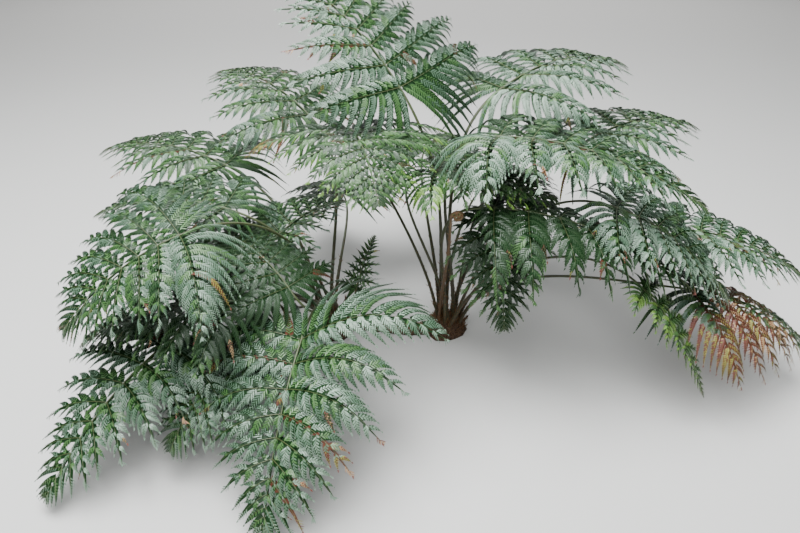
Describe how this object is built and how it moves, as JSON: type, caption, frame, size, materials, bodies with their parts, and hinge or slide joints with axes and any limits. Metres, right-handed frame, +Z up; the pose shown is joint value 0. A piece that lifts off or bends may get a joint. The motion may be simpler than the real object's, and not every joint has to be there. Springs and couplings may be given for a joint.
{
  "type": "shield fern",
  "caption": "Garden fern clump: broad triangular leathery fronds cut into toothed leaflets, on long thin stalks from a creeping rootstock, flat underside at ground level.",
  "frame": {"origin": "middle of the rootstock's flat underside, at ground level", "axes": "+Z up, -Y towards the best side, the side the picture shows, +X to that viewer's right"},
  "size_m": [2.2704, 1.7149, 1.0865],
  "materials": {
    "rootstock": "rough, dark brown, chaffy scales and old leaf bases",
    "stalk": "smooth, dark brown at the foot, olive towards the blade",
    "crozier": "brown scaly rolled young frond",
    "leaf": "leathery, dark green with a pale silvery sheen"
  },
  "bodies": {
    "root": {"rootstock": "rootstock", "crozier": "crozier", "stalk_front": "stalk", "stalk_left_upper": "stalk", "stalk_left_high": "stalk", "stalk_left_low": "stalk", "stalk_left_under": "stalk", "stalk_left_inner": "stalk", "stalk_left_middle": "stalk", "stalk_middle": "stalk", "stalk_small": "stalk", "stalk_centre": "stalk", "stalk_tall": "stalk", "stalk_right_upper": "stalk", "stalk_right_inner": "stalk", "stalk_right_low": "stalk", "stalk_shaded": "stalk", "stalk_right_far": "stalk", "stalk_right_edge": "stalk", "stalk_hanging": "stalk", "stalk_dying": "stalk", "stalk_back_right": "stalk", "stalk_back_far_right": "stalk", "stalk_back_far_left": "stalk", "stalk_back_left": "stalk", "stalk_back_centre": "stalk", "stalk_back_low": "stalk", "stalk_back_middle": "stalk", "stalk_back_low_left": "stalk", "frond_front": "leaf", "frond_left_upper": "leaf", "frond_left_high": "leaf", "frond_left_low": "leaf", "frond_left_under": "leaf", "frond_left_inner": "leaf", "frond_left_middle": "leaf", "frond_middle": "leaf", "frond_small": "leaf", "frond_centre": "leaf", "frond_tall": "leaf", "frond_right_upper": "leaf", "frond_right_inner": "leaf", "frond_right_low": "leaf", "frond_shaded": "leaf", "frond_right_far": "leaf", "frond_right_edge": "leaf", "frond_hanging": "leaf", "frond_dying": "leaf", "frond_back_right": "leaf", "frond_back_far_right": "leaf", "frond_back_far_left": "leaf", "frond_back_left": "leaf", "frond_back_centre": "leaf", "frond_back_low": "leaf", "frond_back_middle": "leaf", "frond_back_low_left": "leaf"}
  },
  "joints": []
}
